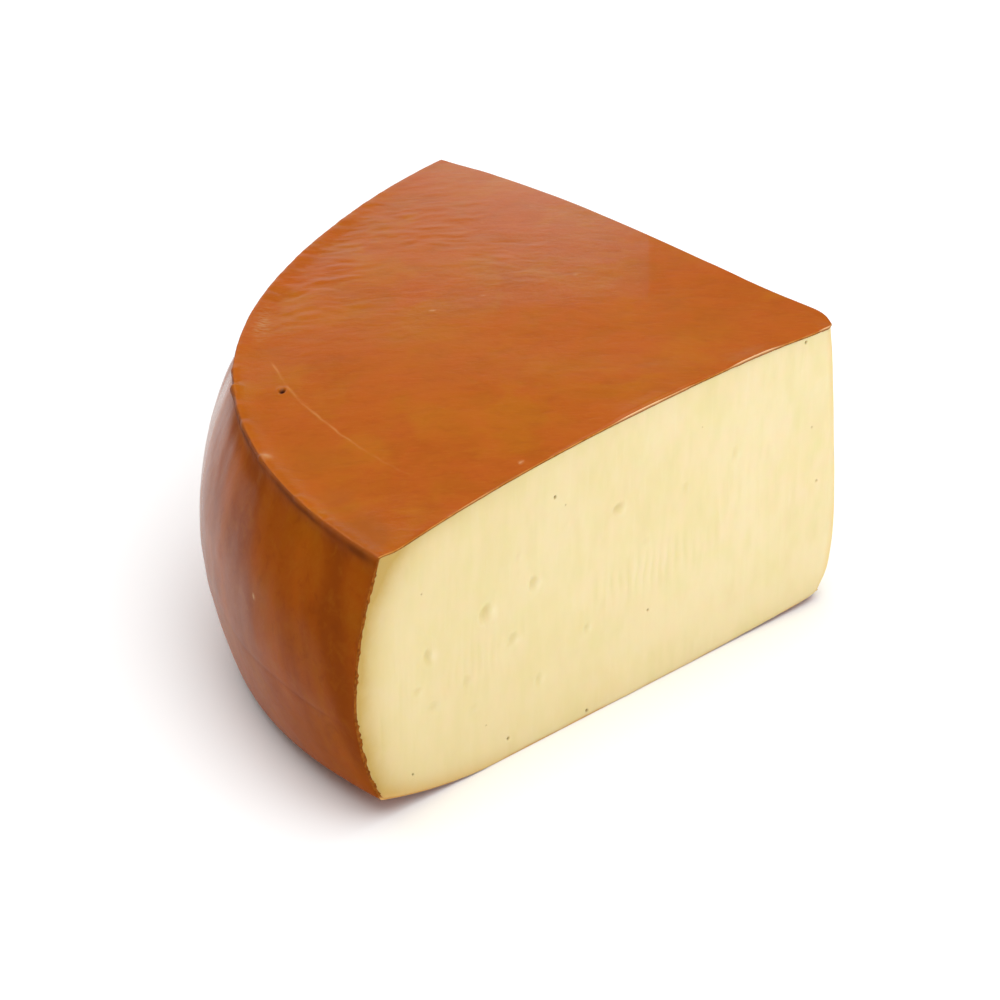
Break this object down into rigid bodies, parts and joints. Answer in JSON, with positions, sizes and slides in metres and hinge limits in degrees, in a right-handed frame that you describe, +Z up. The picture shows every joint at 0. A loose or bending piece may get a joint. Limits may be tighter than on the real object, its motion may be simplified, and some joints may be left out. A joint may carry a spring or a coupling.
{
  "type": "cheese wedge",
  "caption": "Quarter of a semi-hard cheese wheel, cream paste inside a thin orange-brown coating that is open on the two cut faces; stands flat on its underside.",
  "frame": {"origin": "under the middle of the bounding box, on the surface that the wedge stands on", "axes": "+Z up, the shortest extent; +Y across the wedge, the longest extent; +X towards the pointed edge, so the coated side faces -X"},
  "size_m": [0.165, 0.2212, 0.0839],
  "materials": {
    "cheese": "moist, smooth knife-cut paste with a soft sheen and a few pinholes",
    "coat": "satin orange-brown coating, slightly wrinkled near the rim"
  },
  "bodies": {
    "root": {"cheese_body": "cheese", "rind_coat": "coat"}
  },
  "joints": []
}
